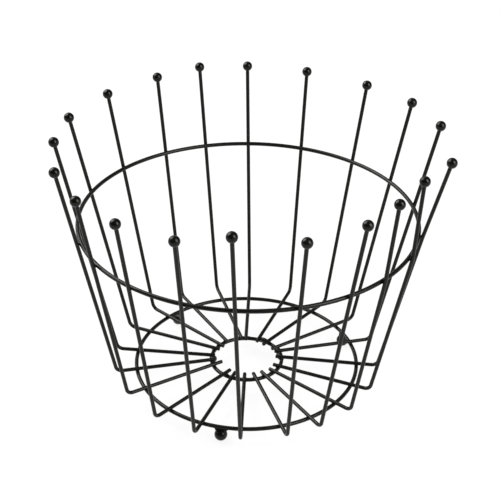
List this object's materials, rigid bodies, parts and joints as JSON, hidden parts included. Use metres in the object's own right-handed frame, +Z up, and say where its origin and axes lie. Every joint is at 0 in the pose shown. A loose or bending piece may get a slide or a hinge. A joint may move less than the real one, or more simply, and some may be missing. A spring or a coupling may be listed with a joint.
{
  "type": "wire fruit basket",
  "caption": "Round open wire fruit basket: bent spokes with ball ends welded to a rim ring, a base ring and an inner ring, on ball feet.",
  "frame": {"origin": "on the rings' common axis, on the surface the basket stands on", "axes": "+Z up along the rings' axis, out of the bowl's mouth; the lone foot that stands at the front is towards -Y"},
  "size_m": [0.298, 0.3006, 0.2161],
  "materials": {
    "wire_coat": "satin near-black powder coat on steel wire",
    "ball_coat": "semi-gloss near-black powder coat on steel balls"
  },
  "bodies": {
    "root": {"rim_ring": "wire_coat", "base_ring": "wire_coat", "inner_ring": "wire_coat", "spoke_01": "wire_coat", "spoke_02": "wire_coat", "spoke_03": "wire_coat", "spoke_04": "wire_coat", "spoke_05": "wire_coat", "spoke_06": "wire_coat", "spoke_07": "wire_coat", "spoke_08": "wire_coat", "spoke_09": "wire_coat", "spoke_10": "wire_coat", "spoke_11": "wire_coat", "spoke_12": "wire_coat", "spoke_13": "wire_coat", "spoke_14": "wire_coat", "spoke_15": "wire_coat", "spoke_16": "wire_coat", "spoke_17": "wire_coat", "spoke_18": "wire_coat", "spoke_19": "wire_coat", "spoke_20": "wire_coat", "tip_ball_01": "ball_coat", "tip_ball_02": "ball_coat", "tip_ball_03": "ball_coat", "tip_ball_04": "ball_coat", "tip_ball_05": "ball_coat", "tip_ball_06": "ball_coat", "tip_ball_07": "ball_coat", "tip_ball_08": "ball_coat", "tip_ball_09": "ball_coat", "tip_ball_10": "ball_coat", "tip_ball_11": "ball_coat", "tip_ball_12": "ball_coat", "tip_ball_13": "ball_coat", "tip_ball_14": "ball_coat", "tip_ball_15": "ball_coat", "tip_ball_16": "ball_coat", "tip_ball_17": "ball_coat", "tip_ball_18": "ball_coat", "tip_ball_19": "ball_coat", "tip_ball_20": "ball_coat", "foot_front": "ball_coat", "foot_left": "ball_coat", "foot_right": "ball_coat"}
  },
  "joints": []
}
